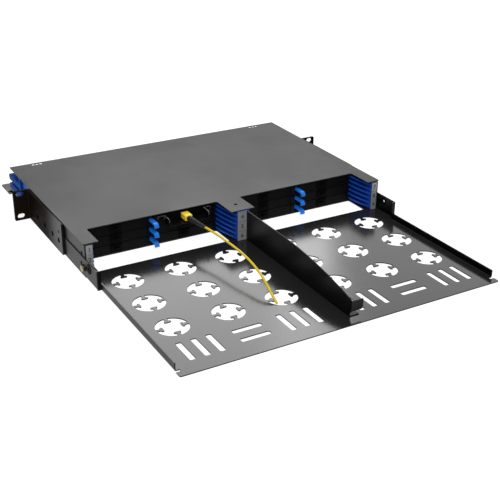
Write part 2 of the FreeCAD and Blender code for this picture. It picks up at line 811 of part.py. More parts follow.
def port_guard():
    """Folded sheet behind the port in use: a floor strip, a cheek at each side and two ears."""
    near, far = -window_edge - guard_reach, -window_edge
    low = loaded_level - tray_height / 2
    half = module_width / 2 - guard_inset
    parts = [box(loaded_x - half, loaded_x + half, near, far, low, low + guard_sheet)]
    for k in (-1, 1):
        edge = loaded_x + k * half
        cheek = box(edge, edge - k * guard_sheet, near, far, low, low + guard_height)
        ear = box(edge - k * guard_sheet, edge + k * guard_ear, far - guard_sheet, far, low,
                  low + guard_height)
        tip = edges_along(cheek, "x", lambda p: p.y < near + sheet and p.z > low + sheet)
        parts += [cheek.makeFillet(corner_radius, tip), ear]
    return fuse(parts)


def latch(side, level):
    """Blue release lever: pivot barrel, flat arm and a finger tip curled down."""
    middle = side * slide_centre
    latch_x = middle + side * latch_offset
    x0 = latch_x - latch_width / 2
    pivot = Vector(x0, -latch_pivot_y, level + latch_pivot_z)
    wide = Vector(latch_width, 0, 0)
    half = latch_sheet / 2
    tip_y = pivot.y - latch_reach
    arm = box(x0, x0 + latch_width, tip_y, pivot.y, pivot.z - half, pivot.z + half)
    curl = curled_tip(Vector(x0, tip_y, pivot.z - latch_curl_radius), wide)
    lever = fuse([arm, curl])
    ends = [(edge, edge.CenterOfMass) for edge in lever.Edges]
    rims = [edge for edge, centre in ends
            if abs(abs(centre.x - latch_x) - latch_width / 2) < pick and centre.y < pivot.y - pick]
    lever = lever.makeFillet(latch_edge, rims)
    barrel = rod(latch_barrel, pivot, pivot.add(wide))
    pins = rod(latch_pin_radius, Vector(middle - mid_rail_half, pivot.y, pivot.z),
               Vector(middle + mid_rail_half, pivot.y, pivot.z))
    return fuse([barrel, lever, pins])


def curled_tip(centre, wide):
    """Part of a ring in the Y-Z plane, from the arm down to a round end."""
    half = latch_sheet / 2
    full = math.radians(latch_curl_angle)

    def at(radius, angle, beyond=0):
        along = Vector(0, -math.cos(angle), -math.sin(angle)) * beyond
        return centre.add(Vector(0, -radius * math.sin(angle), radius * math.cos(angle))).add(along)
    outer, inner = latch_curl_radius + half, latch_curl_radius - half
    edges = [Part.Arc(at(outer, 0), at(outer, full / 2), at(outer, full)).toShape(),
             Part.Arc(at(outer, full), at(latch_curl_radius, full, half), at(inner, full)).toShape(),
             Part.Arc(at(inner, full), at(inner, full / 2), at(inner, 0)).toShape(),
             Part.makeLine(at(inner, 0), at(outer, 0))]
    return Part.Face(Part.Wire(edges)).extrude(wide)


def front_guide():
    """Right-hand blue cable guide at the patching side: a round-ended finger between each two levels."""
    outer = cover_width / 2 - finger_gap
    inner = outer - finger_thickness
    root = box(inner, outer, finger_near_y, finger_near_y + finger_root, sheet, cover_under)
    fingers = []
    for below, above in zip(levels, levels[1:]):
        middle = (below + above) / 2
        low, high = middle - finger_height / 2, middle + finger_height / 2
        finger = box(inner, outer, finger_near_y, finger_far_y, low, high)
        ends = edges_along(finger, "x", lambda p: p.y > finger_far_y - pick)
        fingers.append(finger.makeFillet(finger_corner, ends))
    return fuse([root] + fingers)


def front_door():
    """Drop-down door, lying open: a flat plate with an ear at each end for the hinge pin."""
    far = door_hinge_y + door_length
    plate_body = box(-door_half, door_half, door_hinge_y, far, 0, sheet)
    corners = edges_along(plate_body, "z", lambda p: p.y > far - pick)
    shape = [plate_body.makeFillet(corner_radius, corners)]
    for side in sides.values():
        x0, x1 = side * door_half, side * (door_half - sheet)
        eye = [Vector(x, door_hinge_y, door_hinge_z) for x in (x0, x1)]
        ear = box(x0, x1, door_hinge_y, door_hinge_y + door_ear_length, 0, door_hinge_z + lug_radius)
        tip = edges_along(ear, "x", lambda p: p.y > door_hinge_y + door_ear_length - pick and p.z > sheet)
        shape += [rod(lug_radius, *eye), ear.makeFillet(door_ear_corner, tip)]
    reach = Vector(cover_width, 0, 0)
    hinge = Vector(0, door_hinge_y, door_hinge_z)
    return fuse(shape).cut(rod(hinge_pin_radius + hinge_clearance, hinge.sub(reach), hinge.add(reach)))


def hinge_pins():
    """Short pins through the floor's lugs and the door's ears."""
    pins = []
    for side in sides.values():
        start = Vector(side * wall_inner, door_hinge_y, door_hinge_z)
        end = Vector(side * (door_half + door_gap), door_hinge_y, door_hinge_z)
        pins.append(rod(hinge_pin_radius, start, end))
    return Part.makeCompound(pins)


def trunk_adapter():
    """Adapter in the loaded module's trunk port: a sleeve with a thin flange outside."""
    face = module_near_y
    half, tall = port_width / 2 - cap_gap, port_height / 2 - cap_gap
    sleeve = box(loaded_x - half, loaded_x + half, face, face + port_depth - cap_gap, loaded_level - tall,
                 loaded_level + tall)
    flange = box(loaded_x - trunk_width / 2, loaded_x + trunk_width / 2, face - trunk_flange, face,
                 loaded_level - trunk_height / 2, loaded_level + trunk_height / 2)
    return fuse([sleeve, flange])


def jumper_plug():
    """Yellow connector: a rounded housing with grip grooves and a narrower collar behind it."""
    far = module_near_y - trunk_flange
    near = far - plug_length
    half, tall = plug_width / 2, plug_height / 2
    body = box(loaded_x - half, loaded_x + half, near, far, loaded_level - tall, loaded_level + tall)
    body = body.makeFillet(plug_corner, edges_along(body, "y", lambda p: True))
    grooves = []
    for side in sides.values():
        x0, x1 = loaded_x + side * (half - plug_groove), loaded_x + side * (half + plug_groove)
        for k in range(plug_grooves):
            y = near + plug_groove_pitch * (k + 1)
            grooves.append(box(x0, x1, y, y + plug_groove_pitch / 2, loaded_level - tall,
                               loaded_level + tall))
    half, tall = collar_width / 2, collar_height / 2
    collar = box(loaded_x - half, loaded_x + half, near - collar_length, near, loaded_level - tall,
                 loaded_level + tall)
    collar = collar.makeFillet(plug_corner, edges_along(collar, "y", lambda p: True))
    return fuse([body.cut(Part.makeCompound(grooves)), collar])


def boot_start():
    """Centre of the connector's near face, where the strain relief starts."""
    near = module_near_y - trunk_flange - plug_length - collar_length
    return Vector(loaded_x, near, loaded_level)


def jumper_boot():
    """Tapered strain relief with rings, leaning with the cable and cut flush to the connector."""
    start = boot_start()
    axis = Vector(boot_run).normalize()
    length = boot_run.Length
    root = start.sub(axis * boot_ring)
    shape = Part.makeCone(boot_far_radius, boot_near_radius, length + boot_ring, root, axis)
    pitch = length / (boot_rings + 1)
    for k in range(boot_rings):
        at = start.add(axis * (pitch * (k + 1)))
        radius = boot_far_radius + (boot_near_radius - boot_far_radius) * (k + 1) / (boot_rings + 1)
        ring = Part.makeCylinder(boot_far_radius * 2, boot_ring, at, axis)
        shape = shape.cut(ring.cut(Part.makeCylinder(radius - boot_ring_depth, boot_ring, at, axis)))
    reach = 2 * boot_far_radius
    flush = box(start.x - reach, start.x + reach, start.y, start.y + reach, start.z - reach, start.z + reach)
    return shape.cut(flush)


def cable_route():
    """Points that the yellow cable follows, from the boot down into a cable hole."""
    start = boot_start().add(boot_run)
    lead = start.add(Vector(boot_run).normalize() * cable_lead)
    points = [(-52.6, -232.5, 31.4), (-50.9, -254.5, 30.6), (-49.0, -275.0, 29.2), (-47.6, -295.5, 26.6),
              (-47.9, -315.0, 23.2), (-48.4, -331.9, 18.8), (-49.8, -345.6, 13.4), (-50.6, -357.6, 7.4),
              (-50.6, -368.9, 1.55)]
    return [start, lead] + [Vector(*p) for p in points]


def cable_path(points):
    """Straight runs joined by tangent arcs, as large as the two runs at each point allow."""
    edges, here, radii = [], points[0], []
    for k in range(1, len(points) - 1):
        before, corner, after = points[k - 1], points[k], points[k + 1]
        back = before.sub(corner)
        on = after.sub(corner)
        short = min(back.Length, on.Length)
        turn = math.pi - back.getAngle(on)
        reach = cable_arc_share * short
        radii.append(reach / math.tan(turn / 2))
        back.normalize()
        on.normalize()
        enter, leave = corner.add(back * reach), corner.add(on * reach)
        inside = back.add(on).normalize()
        depth = radii[-1] / math.cos(turn / 2) - radii[-1]
        edges.append(Part.LineSegment(here, enter).toShape())
        edges.append(Part.Arc(enter, corner.add(inside * depth), leave).toShape())
        here = leave
    edges.append(Part.LineSegment(here, points[-1]).toShape())
    return Part.Wire(edges), radii


def jumper_cable():
    """Round yellow cable swept along its route."""
    points = cable_route()
    path, radii = cable_path(points)
    first = points[1].sub(points[0])
    circle = Part.makeCircle(cable_diameter / 2, points[0], first)
    tube = path.makePipe(Part.Face(Part.Wire([circle])))
    section = math.pi * cable_diameter ** 2 / 4
    print("cable length %.1f, volume over section times length %.4f" %
          (path.Length, tube.Volume / (section * path.Length)))
    print("cable radii", [round(r, 1) for r in radii])
    return tube


def slide_nodes():
    """Every sliding tray with its modules, adapters, caps and latch."""
    nodes = {}
    for side_name, side in sides.items():
        for level_name, level in zip(level_names, levels):
            place = side_name + "_" + level_name
            loaded = side < 0 and level == loaded_level
            nodes["slide_frame_" + place] = slide_frame(side, level)
            nodes["module_outer_" + place] = module(side, level, 1)
            nodes["module_inner_" + place] = module(side, level, -1)
            nodes["front_adapters_" + place] = front_adapters(side, level)
            nodes["dust_caps_" + place] = dust_caps(side, level, loaded)
            nodes["release_latch_" + place] = latch(side, level)
    return nodes


def build():
    """All nodes of the enclosure by name."""
    edge = side_guide_inner + label_margin
    wall = side_guide_outer
    side_face, centre_face = case_near_y + guide_near_gap, case_near_y - guide_nose
    nodes = {
        "chassis": chassis(), "top_cover": top_cover(), "cable_tray": cable_tray(),
        "centre_divider": centre_divider(), "keyhole_plugs": keyhole_plugs(),
        "rack_bracket_right": rack_bracket(), "rack_bracket_left": mirror_x(rack_bracket()),
        "case_fasteners": case_fasteners(), "keyhole_studs": keyhole_studs(), "centre_guide": centre_guide(),
        "side_guide_right": side_guide(), "side_guide_left": mirror_x(side_guide()),
        "port_label_left": label(-wall, -edge, side_face, guide_top),
        "port_label_right": label(edge, wall, side_face, guide_top),
        "port_label_centre": label(-centre_guide_half + label_margin, divider_x - divider_head_gap,
                                   centre_face, cover_under),
        "front_guide_right": front_guide(), "front_guide_left": mirror_x(front_guide()),
        "front_door": front_door(), "hinge_pins": hinge_pins(), "trunk_adapter": trunk_adapter(),
        "port_guard": port_guard(),
        "jumper_plug": jumper_plug(), "jumper_boot": jumper_boot(), "jumper_cable": jumper_cable(),
    }
    nodes.update(slide_nodes())
    return nodes


os.makedirs("parts", exist_ok=True)
for name, shape in build().items():
    shape.exportStep("parts/" + name + ".step")
    print(name, len(shape.Solids), shape.isValid(), round(shape.Volume, 1))
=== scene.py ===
import math
import bpy
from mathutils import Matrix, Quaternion, Vector


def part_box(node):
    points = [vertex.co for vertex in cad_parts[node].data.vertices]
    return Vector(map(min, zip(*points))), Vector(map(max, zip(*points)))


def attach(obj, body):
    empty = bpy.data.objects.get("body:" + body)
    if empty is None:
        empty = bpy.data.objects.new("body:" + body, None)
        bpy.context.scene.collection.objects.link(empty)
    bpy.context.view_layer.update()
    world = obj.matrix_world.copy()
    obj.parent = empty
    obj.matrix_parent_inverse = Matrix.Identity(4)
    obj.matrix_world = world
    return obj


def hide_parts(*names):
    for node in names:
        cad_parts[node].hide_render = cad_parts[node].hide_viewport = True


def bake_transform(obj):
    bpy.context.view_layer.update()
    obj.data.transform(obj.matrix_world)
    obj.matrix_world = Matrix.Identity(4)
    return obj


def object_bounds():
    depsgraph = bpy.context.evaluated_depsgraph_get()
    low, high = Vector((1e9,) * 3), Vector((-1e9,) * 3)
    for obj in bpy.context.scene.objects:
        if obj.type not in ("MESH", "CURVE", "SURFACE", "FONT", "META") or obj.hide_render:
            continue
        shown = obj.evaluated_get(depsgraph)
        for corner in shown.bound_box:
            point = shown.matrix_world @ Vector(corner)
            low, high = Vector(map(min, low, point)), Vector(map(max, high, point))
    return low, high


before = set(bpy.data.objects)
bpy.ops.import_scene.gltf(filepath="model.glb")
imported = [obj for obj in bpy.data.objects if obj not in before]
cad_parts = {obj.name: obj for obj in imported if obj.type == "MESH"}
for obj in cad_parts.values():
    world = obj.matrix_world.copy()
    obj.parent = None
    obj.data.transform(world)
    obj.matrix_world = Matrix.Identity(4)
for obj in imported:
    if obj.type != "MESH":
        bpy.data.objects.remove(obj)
cad_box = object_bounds()


# Case: folded 1.2 mm steel sheet, sprayed with black powder and baked. The skin is satin, a
# little mottled, and a pale highlight is painted along its cut edges.
node_spacing = 200
clouds_per_metre = 11
cloud_low, cloud_high = 0.3, 0.7
grain_height = 0.0001
edge_start_cosine, edge_full_cosine = 0.995, 0.80
# Pale grey of the highlight that is painted along the edges.
edge_highlight_grey = (0.55, 0.56, 0.58, 1)


def add_node(tree, kind, place, inputs=None, **settings):
    """One shader node at a place on the sheet, with its settings, its values and its links."""
    node = tree.nodes.new("ShaderNode" + kind)
    node.location = (place[0] * node_spacing, -place[1] * node_spacing)
    for key, value in settings.items():
        setattr(node, key, value)
    for socket, value in (inputs or {}).items():
        if isinstance(value, bpy.types.NodeSocket):
            tree.links.new(value, node.inputs[socket])
        else:
            node.inputs[socket].default_value = value
    return node


def grain_group():
    """Grain of a sprayed or moulded skin: mottled tones and roughness, a bump and a painted edge highlight.
    """
    tree = bpy.data.node_groups.new("fine_grain", "ShaderNodeTree")
    for name, kind in (("Dark", "Color"), ("Light", "Color"), ("Smooth", "Float"), ("Rough", "Float"),
                       ("Grains per metre", "Float"), ("Depth", "Float"), ("Edge width", "Float"),
                       ("Edge highlight", "Float")):
        tree.interface.new_socket(name=name, in_out="INPUT", socket_type="NodeSocket" + kind)
    for name, kind in (("Colour", "Color"), ("Roughness", "Float"), ("Normal", "Vector"), ("Edge", "Float")):
        tree.interface.new_socket(name=name, in_out="OUTPUT", socket_type="NodeSocket" + kind)
    given = tree.nodes.new("NodeGroupInput")
    place = add_node(tree, "TexCoord", (0, 2))
    fine = add_node(tree, "TexNoise", (1, 0), {
        "Vector": place.outputs["Object"], "Scale": given.outputs["Grains per metre"], "Detail": 3})
    cloud = add_node(tree, "TexNoise", (1, 2), {
        "Vector": place.outputs["Object"], "Scale": clouds_per_metre, "Detail": 4})
    tone = add_node(tree, "Mix", (3, 0), {
        "Factor": cloud.outputs["Fac"], "A": given.outputs["Dark"], "B": given.outputs["Light"]},
        data_type="RGBA")
    rounded = add_node(tree, "Bevel", (2, 3), {"Radius": given.outputs["Edge width"]}, samples=4)
    flat = add_node(tree, "NewGeometry", (2, 4))
    cosine = add_node(tree, "VectorMath", (3, 3), {
        0: rounded.outputs["Normal"], 1: flat.outputs["Normal"]}, operation="DOT_PRODUCT")
    edge = add_node(tree, "MapRange", (4, 3), {
        "Value": cosine.outputs["Value"], "From Min": edge_start_cosine, "From Max": edge_full_cosine})
    # Painted highlight: pale grey is mixed into the colour along the edges.
    highlight_amount = add_node(tree, "Math", (5, 3), {
        0: edge.outputs["Result"], 1: given.outputs["Edge highlight"]}, operation="MULTIPLY")
    highlighted = add_node(tree, "Mix", (6, 0), {
        "Factor": highlight_amount.outputs["Value"], "A": tone.outputs["Result"], "B": edge_highlight_grey}, data_type="RGBA")
    rough = add_node(tree, "MapRange", (4, 1), {
        "Value": cloud.outputs["Fac"], "From Min": cloud_low, "From Max": cloud_high,
        "To Min": given.outputs["Smooth"], "To Max": given.outputs["Rough"]})
    bump = add_node(tree, "Bump", (5, 2), {
        "Strength": given.outputs["Depth"], "Distance": grain_height, "Height": fine.outputs["Fac"],
        "Normal": rounded.outputs["Normal"]})
    result = tree.nodes.new("NodeGroupOutput")
    result.location = (8 * node_spacing, 0)
    tree.links.new(highlighted.outputs["Result"], result.inputs["Colour"])
    tree.links.new(rough.outputs["Result"], result.inputs["Roughness"])
    tree.links.new(bump.outputs["Normal"], result.inputs["Normal"])
    tree.links.new(edge.outputs["Result"], result.inputs["Edge"])
    return tree


fine_grain = grain_group()


def surface(material):
    """The sockets of a finish's shader."""
    return material.node_tree.nodes["Principled BSDF"].inputs


def grained(name, dark, light, smooth, rough, grains=900, depth=0.15, edge_highlight=0.2, edge_width=0.0004,
            shine=0.5):
    """A finish with the fine grain on it, whose tone and roughness vary between two values."""
    material = bpy.data.materials.new(name)
    material.use_nodes = True
    # The edge highlight is painted: pale grey laid over the edges, as strong as given.
    grain = add_node(material.node_tree, "Group", (-2, -1), {
        "Dark": (*dark, 1), "Light": (*light, 1), "Smooth": smooth, "Rough": rough,
        "Grains per metre": grains, "Depth": depth, "Edge width": edge_width, "Edge highlight": edge_highlight},
        node_tree=fine_grain)
    surface(material)["Specular IOR Level"].default_value = shine
    for output, socket in (("Colour", "Base Color"), ("Roughness", "Roughness"), ("Normal", "Normal")):
        material.node_tree.links.new(grain.outputs[output], surface(material)[socket])
    return material


def paint(material, *names):
    """Gives CAD nodes a finish through their material slots."""
    for name in names:
        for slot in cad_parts[name].material_slots:
            slot.material = material


case_coat = grained("case_coat", dark=(0.005, 0.0045, 0.004), light=(0.014, 0.013, 0.011), smooth=0.36,
                    rough=0.46, grains=1300, edge_highlight=0.08, shine=0.25)
paint(case_coat, "chassis")


# Cover: a flat sheet in the same powder, which lies on the case's flanges under a screw. The
# small slots for cable ties at its far corners are opened here to their full width.
slot_length = 0.0046
slot_width = 0.0058
slot_pitch = 0.0056
slot_inset = 0.0385
slot_edge = 0.005
cutter_height = 0.01
merge_gap = 0.00001


def block(middle, size, tilt=0):
    """A plain block, tilted about the X axis."""
    bpy.ops.object.select_all(action="DESELECT")
    bpy.ops.mesh.primitive_cube_add(size=1, location=middle, rotation=(tilt, 0, 0), scale=size)
    bpy.ops.object.transform_apply(location=True, rotation=True, scale=True)
    return bpy.context.object


def join_to(body, piece, operation):
    """Adds a second solid to the first one, or cuts it away, and deletes it."""
    bpy.ops.object.select_all(action="DESELECT")
    bpy.context.view_layer.objects.active = body
    change = body.modifiers.new("change", "BOOLEAN")
    change.operation = operation
    change.solver = "EXACT"
    change.object = piece
    bpy.ops.object.modifier_apply(modifier="change")
    bpy.data.objects.remove(piece)


def coat(piece, material):
    """Gives a new piece its one finish."""
    piece.data.materials.clear()
    piece.data.materials.append(material)


cover = bpy.data.objects.new("cover_sheet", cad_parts["top_cover"].data.copy())
bpy.context.collection.objects.link(cover)
bpy.ops.object.select_all(action="DESELECT")
bpy.context.view_layer.objects.active = cover
cover.select_set(True)
bpy.ops.object.mode_set(mode="EDIT")
bpy.ops.mesh.select_all(action="SELECT")
bpy.ops.mesh.remove_doubles(threshold=merge_gap)
bpy.ops.object.mode_set(mode="OBJECT")
cover_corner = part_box("top_cover")[1]
for side in (-1, 1):
    for k in (-1, 0, 1):
        slot_middle = (side * (cover_corner.x - slot_inset) + k * slot_pitch, cover_corner.y - slot_edge,
                       cover_corner.z)
        join_to(cover, block(slot_middle, (slot_length, slot_width, cutter_height)), "DIFFERENCE")
cover.data.polygons.foreach_set("use_smooth", [False] * len(cover.data.polygons))
cover_coat = grained("cover_coat", dark=(0.005, 0.005, 0.005), light=(0.016, 0.016, 0.016), smooth=0.32,
                     rough=0.44, grains=1500, depth=0.40, edge_highlight=0.10, shine=0.22)
coat(cover, cover_coat)
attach(cover, "chassis")
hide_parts("top_cover")


# Rack brackets: 3 mm steel with the same black powder, screwed to the case's sides. A painted
# reflection lies on each leg: dark and slightly brown from the ear to the middle, then lighter
# grey and metallic along the near half.
painted_sheen_grey = (0.03, 0.03, 0.03)


def part_axis(tree, kind, axis):
    """One axis of a point's place, by Object, or of the way that it faces, by Normal."""
    given = add_node(tree, "TexCoord", (-6, 4))
    split = add_node(tree, "SeparateXYZ", (-5, 4), {"Vector": given.outputs[kind]})
    return split.outputs[axis]


def tint(material, mask, colour):
    """Lays a second colour over a finish where a mask says so."""
    base = surface(material)["Base Color"]
    mix = add_node(material.node_tree, "Mix", (-1, 3), {
        "Factor": mask, "A": base.links[0].from_socket, "B": (*colour, 1)}, data_type="RGBA")
    material.node_tree.links.new(mix.outputs["Result"], base)


def dull_ears(material, middle_y, near_y, sheen_colour):
    """Paints a sheen: the metallic and a lighter grey grow along the near half of the leg, up to its near
    end.
    """
    tree = material.node_tree
    along = add_node(tree, "MapRange", (-4, 4), {
        "Value": part_axis(tree, "Object", "Y"), "From Min": middle_y, "From Max": near_y},
        interpolation_type="SMOOTHSTEP")
    tree.links.new(along.outputs["Result"], surface(material)["Metallic"])
    tint(material, along.outputs["Result"], sheen_colour)


# Its dark, slightly brown tone is painted reflection, left showing from the ear to the middle of the leg.
bracket_coat = grained("bracket_coat", dark=(0.004, 0.003, 0.002), light=(0.009, 0.006, 0.004), smooth=0.38,
                       rough=0.48, grains=1300, edge_highlight=0.14, shine=0.006)
bracket_low, bracket_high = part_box("rack_bracket_left")
# Painted reflection: a lighter, metallic grey along the near half of each leg.
dull_ears(bracket_coat, (bracket_low.y + bracket_high.y) / 2, bracket_low.y, painted_sheen_grey)
paint(bracket_coat, "rack_bracket_left", "rack_bracket_right")


# Fasteners: blackened screws, rivets and hinge pins, and turned studs of pale brass, which
# stand on the case's walls and carry the cable tray by its keyholes.
screw_black = grained("screw_black", dark=(0.001, 0.001, 0.001), light=(0.002, 0.002, 0.002), smooth=0.44,
                      rough=0.54, grains=2500, depth=0.05, edge_highlight=0, shine=0)
paint(screw_black, "case_fasteners", "hinge_pins")
stud_brass = grained("stud_brass", dark=(0.20, 0.16, 0.10), light=(0.34, 0.29, 0.19), smooth=0.20,
                     rough=0.30, grains=3000, depth=0.05, edge_highlight=0.5)
surface(stud_brass)["Metallic"].default_value = 1.0
paint(stud_brass, "keyhole_studs")


# Guides: ribbed blue mouldings, screwed to the walls and stood in the middle, which the
# tongues of the trays run in, and round-ended cable fingers at the patching side.
guide_blue = grained("guide_blue", dark=(0.002, 0.042, 0.28), light=(0.003, 0.062, 0.39), smooth=0.36,
                     rough=0.46, grains=700, depth=0.08, edge_highlight=0.06, shine=0.12)
paint(guide_blue, "side_guide_left", "side_guide_right", "centre_guide")
finger_blue = grained("finger_blue", dark=(0.001, 0.038, 0.20), light=(0.002, 0.060, 0.30), smooth=0.40,
                      rough=0.50, grains=700, depth=0.08, edge_highlight=0.01, shine=0.01)
paint(finger_blue, "front_guide_left", "front_guide_right")


# Number labels: grey printed film, stuck on the near end of each guide and ruled into one
# cell for each level. The cells hold plain numbers, counted down from the top left.
level_pitch = 0.0133
lowest_level = 0.00795
rule_height = lowest_level + level_pitch / 2
rule_width = 0.0004
rule_ink = (0.05, 0.05, 0.05)
film_margin = 0.0006
film_lift = 0.00005
film_corner = 0.00018
digit_height = 0.0085
digit_thickness = 0.00005
digit_lift = 0.0001


def label_film():
    """Grey film with a fine dark rule between the cells."""
    material = grained("label_film", dark=(0.23, 0.235, 0.24), light=(0.29, 0.295, 0.30), smooth=0.45,
                       rough=0.55, grains=1800, depth=0.05, edge_highlight=0.1)
    tree = material.node_tree
    above = add_node(tree, "Math", (-4, 3), {
        0: part_axis(tree, "Object", "Z"), 1: rule_height}, operation="SUBTRACT")
    away = add_node(tree, "Math", (-3, 3), {0: above.outputs["Value"], 1: level_pitch / 2},
                    operation="PINGPONG")
    ruled = add_node(tree, "Math", (-2, 3), {0: away.outputs["Value"], 1: rule_width / 2},
                     operation="LESS_THAN")
    tint(material, ruled.outputs["Value"], rule_ink)
    return material


def film_plate(side, low, high):
    """A label's film, which covers the guide's whole near face, with rounded corners."""
    low = low - Vector((film_margin, film_lift, film_margin))
    high = high + Vector((film_margin, 0, film_margin))
    plate = block((low + high) / 2, high - low)
    plate.name = "label_film_" + side
    corners = plate.modifiers.new("corners", "BEVEL")
    corners.width = film_corner
    corners.segments = 2
    bpy.ops.object.modifier_apply(modifier="corners")
    coat(plate, film)
    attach(plate, "chassis")
    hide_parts("port_label_" + side)


def number_plate(name, number, middle):
    """A flat printed number that faces the cable tray."""
    bpy.ops.object.select_all(action="DESELECT")
    bpy.ops.object.text_add(location=middle, rotation=(math.radians(90), 0, 0))
    digit = bpy.context.object
    digit.name = name
    digit.data.body = str(number)
    digit.data.size = digit_height
    digit.data.align_x = "CENTER"
    digit.data.align_y = "CENTER"
    digit.data.extrude = digit_thickness
    digit.data.resolution_u = 3
    bpy.ops.object.convert(target="MESH")
    bpy.ops.object.transform_apply(location=True, rotation=True, scale=True)
    coat(digit, label_ink)
    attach(digit, "chassis")


film = label_film()
label_ink = grained("label_ink", dark=(0.004, 0.004, 0.004), light=(0.006, 0.006, 0.006), smooth=0.5,
                    rough=0.6, edge_highlight=0, shine=0.1)
for column, side in enumerate(("left", "centre", "right")):
    label_low, label_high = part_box("port_label_" + side)
    film_plate(side, label_low, label_high)
    for row in range(3):
        digit_middle = ((label_low.x + label_high.x) / 2, label_low.y - digit_lift,
                        lowest_level + row * level_pitch)
        number_plate("number_%s_%d" % (side, row + 1), column * 3 + 3 - row, digit_middle)


# Sliding trays and modules: black moulded plastic with a fine matt grain. A tray carries two
# modules, with blue adapters on the patching side and dust caps in the ports not in use.
tray_plastic = grained("tray_plastic", dark=(0.0016, 0.0016, 0.002), light=(0.003, 0.003, 0.0034),
                       smooth=0.46, rough=0.56, grains=1600, edge_highlight=0.03, shine=0.10)
module_plastic = grained("module_plastic", dark=(0.0016, 0.0016, 0.002), light=(0.0028, 0.0028, 0.003),
                         smooth=0.50, rough=0.62, grains=1800, edge_highlight=0.01, shine=0.08)
cap_plastic = grained("cap_plastic", dark=(0.0014, 0.0014, 0.0016), light=(0.0026, 0.0026, 0.003),
                      smooth=0.5, rough=0.62, grains=1500, edge_highlight=0, shine=0.04)
adapter_blue = grained("adapter_blue", dark=(0.010, 0.10, 0.40), light=(0.014, 0.14, 0.50), smooth=0.34,
                       rough=0.42, grains=1200, depth=0.05)
tray_places = [side + "_" + level for side in ("left", "right") for level in ("lower", "middle", "upper")]
for place in tray_places:
    paint(tray_plastic, "slide_frame_" + place)
    paint(module_plastic, "module_outer_" + place, "module_inner_" + place)
    paint(cap_plastic, "dust_caps_" + place)
    paint(adapter_blue, "front_adapters_" + place)


# Release latches: springy blue levers with a finger tip curled down. Each tray has one, which
# tilts about a cross pin.
latch_blue = grained("latch_blue", dark=(0.006, 0.160, 0.66), light=(0.010, 0.210, 0.80), smooth=0.26,
                     rough=0.34, depth=0.05, edge_highlight=0.15, shine=0.4)
for place in tray_places:
    paint(latch_blue, "release_latch_" + place)


# Port in use: the port's adapter in its module, inside a folded black guard whose upper edges
# carry a painted highlight in pale grey.
guard_highlight_band = 0.0045
guard_highlight_grey = (0.75, 0.75, 0.75)


def rub_edges(material, lowest, highlight_colour):
    """Paints a pale highlight on the folds and edges that lie above a height."""
    tree = material.node_tree
    grain = surface(material)["Base Color"].links[0].from_node
    above = add_node(tree, "Math", (-4, 4), {0: part_axis(tree, "Object", "Z"), 1: lowest},
                     operation="GREATER_THAN")
    highlit = add_node(tree, "Math", (-3, 4), {0: above.outputs["Value"], 1: grain.outputs["Edge"]},
                      operation="MULTIPLY")
    tint(material, highlit.outputs["Value"], highlight_colour)


guard_coat = grained("guard_coat", dark=(0.002, 0.002, 0.002), light=(0.004, 0.004, 0.004), smooth=0.30,
                     rough=0.38, grains=1300, edge_highlight=0.06, edge_width=0.0005, shine=0.1)
guard_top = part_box("port_guard")[1].z
# Painted highlight: pale grey on the guard's upper edges.
rub_edges(guard_coat, guard_top - guard_highlight_band, guard_highlight_grey)
paint(guard_coat, "port_guard")
paint(module_plastic, "trunk_adapter")


# Cable tray: the same sheet with punched holes and slots, hung on the studs by its keyholes.
# Its smooth coat mirrors the lamps beyond the unit, and is dull on upright faces. The fin that
# parts its two halves is riveted down by its foot.
upright_starts, upright_full = 0.7, 0.3


def dull_uprights(material, roughness):
    """Takes the mirror off the faces that stand upright."""
    tree = material.node_tree
    flatness = add_node(tree, "Math", (-5, 5), {0: part_axis(tree, "Normal", "Z")}, operation="ABSOLUTE")
    upright = add_node(tree, "MapRange", (-4, 5), {
        "Value": flatness.outputs["Value"], "From Min": upright_starts, "From Max": upright_full})
    dull = add_node(tree, "Math", (-3, 5), {0: upright.outputs["Result"], 1: roughness},
                    operation="MULTIPLY")
    grain_rough = surface(material)["Roughness"].links[0].from_socket
    rougher = add_node(tree, "Math", (-2, 5), {0: dull.outputs["Value"], 1: grain_rough},
                       operation="MAXIMUM")
    tree.links.new(upright.outputs["Result"], surface(material)["Metallic"])
    tree.links.new(rougher.outputs["Value"], surface(material)["Roughness"])


tray_coat = grained("tray_coat", dark=(0.010, 0.010, 0.010), light=(0.018, 0.018, 0.018), smooth=0.14,
                    rough=0.18, grains=1100, depth=0.10, edge_highlight=0.12, shine=0.35)
dull_uprights(tray_coat, roughness=0.42)
paint(tray_coat, "cable_tray")
fin_coat = grained("fin_coat", dark=(0.002, 0.002, 0.002), light=(0.004, 0.004, 0.004), smooth=0.34,
                   rough=0.42, grains=1100, edge_highlight=0.10, shine=0.15)
paint(fin_coat, "centre_divider")


# Keyhole plugs: black mouldings pushed into the keyholes beside the studs. Each fills the
# round end and the slot, with a rim outside and a small bore, so that the tray can't lift off.
rim_depth = 0.0006
rim_step = 0.0008
bore_radius = 0.0020
arm_sheet = 0.0012
tail_width = 0.0052
tail_gap = 0.0003
plug_low, plug_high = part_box("keyhole_plugs")
stud_low, stud_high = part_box("keyhole_studs")
plug_y = (plug_low.y + plug_high.y) / 2
plug_z = (plug_low.z + plug_high.z) / 2
tail_run = Vector((0, (stud_low.y + stud_high.y) / 2 - plug_y, (stud_low.z + stud_high.z) / 2 - plug_z))
tail_length = tail_run.length - tail_width / 2 - tail_gap
tail_tilt = math.atan2(tail_run.z, tail_run.y)
rim_radius = (plug_high.z - plug_low.z) / 2


def keyhole_disc(radius, one_x, other_x):
    """A round slice of the plug, across the arm."""
    bpy.ops.object.select_all(action="DESELECT")
    bpy.ops.mesh.primitive_cylinder_add(vertices=48, radius=radius, depth=abs(one_x - other_x),
                                        location=((one_x + other_x) / 2, plug_y, plug_z),
                                        rotation=(0, math.radians(90), 0))
    bpy.ops.object.transform_apply(location=True, rotation=True, scale=True)
    return bpy.context.object


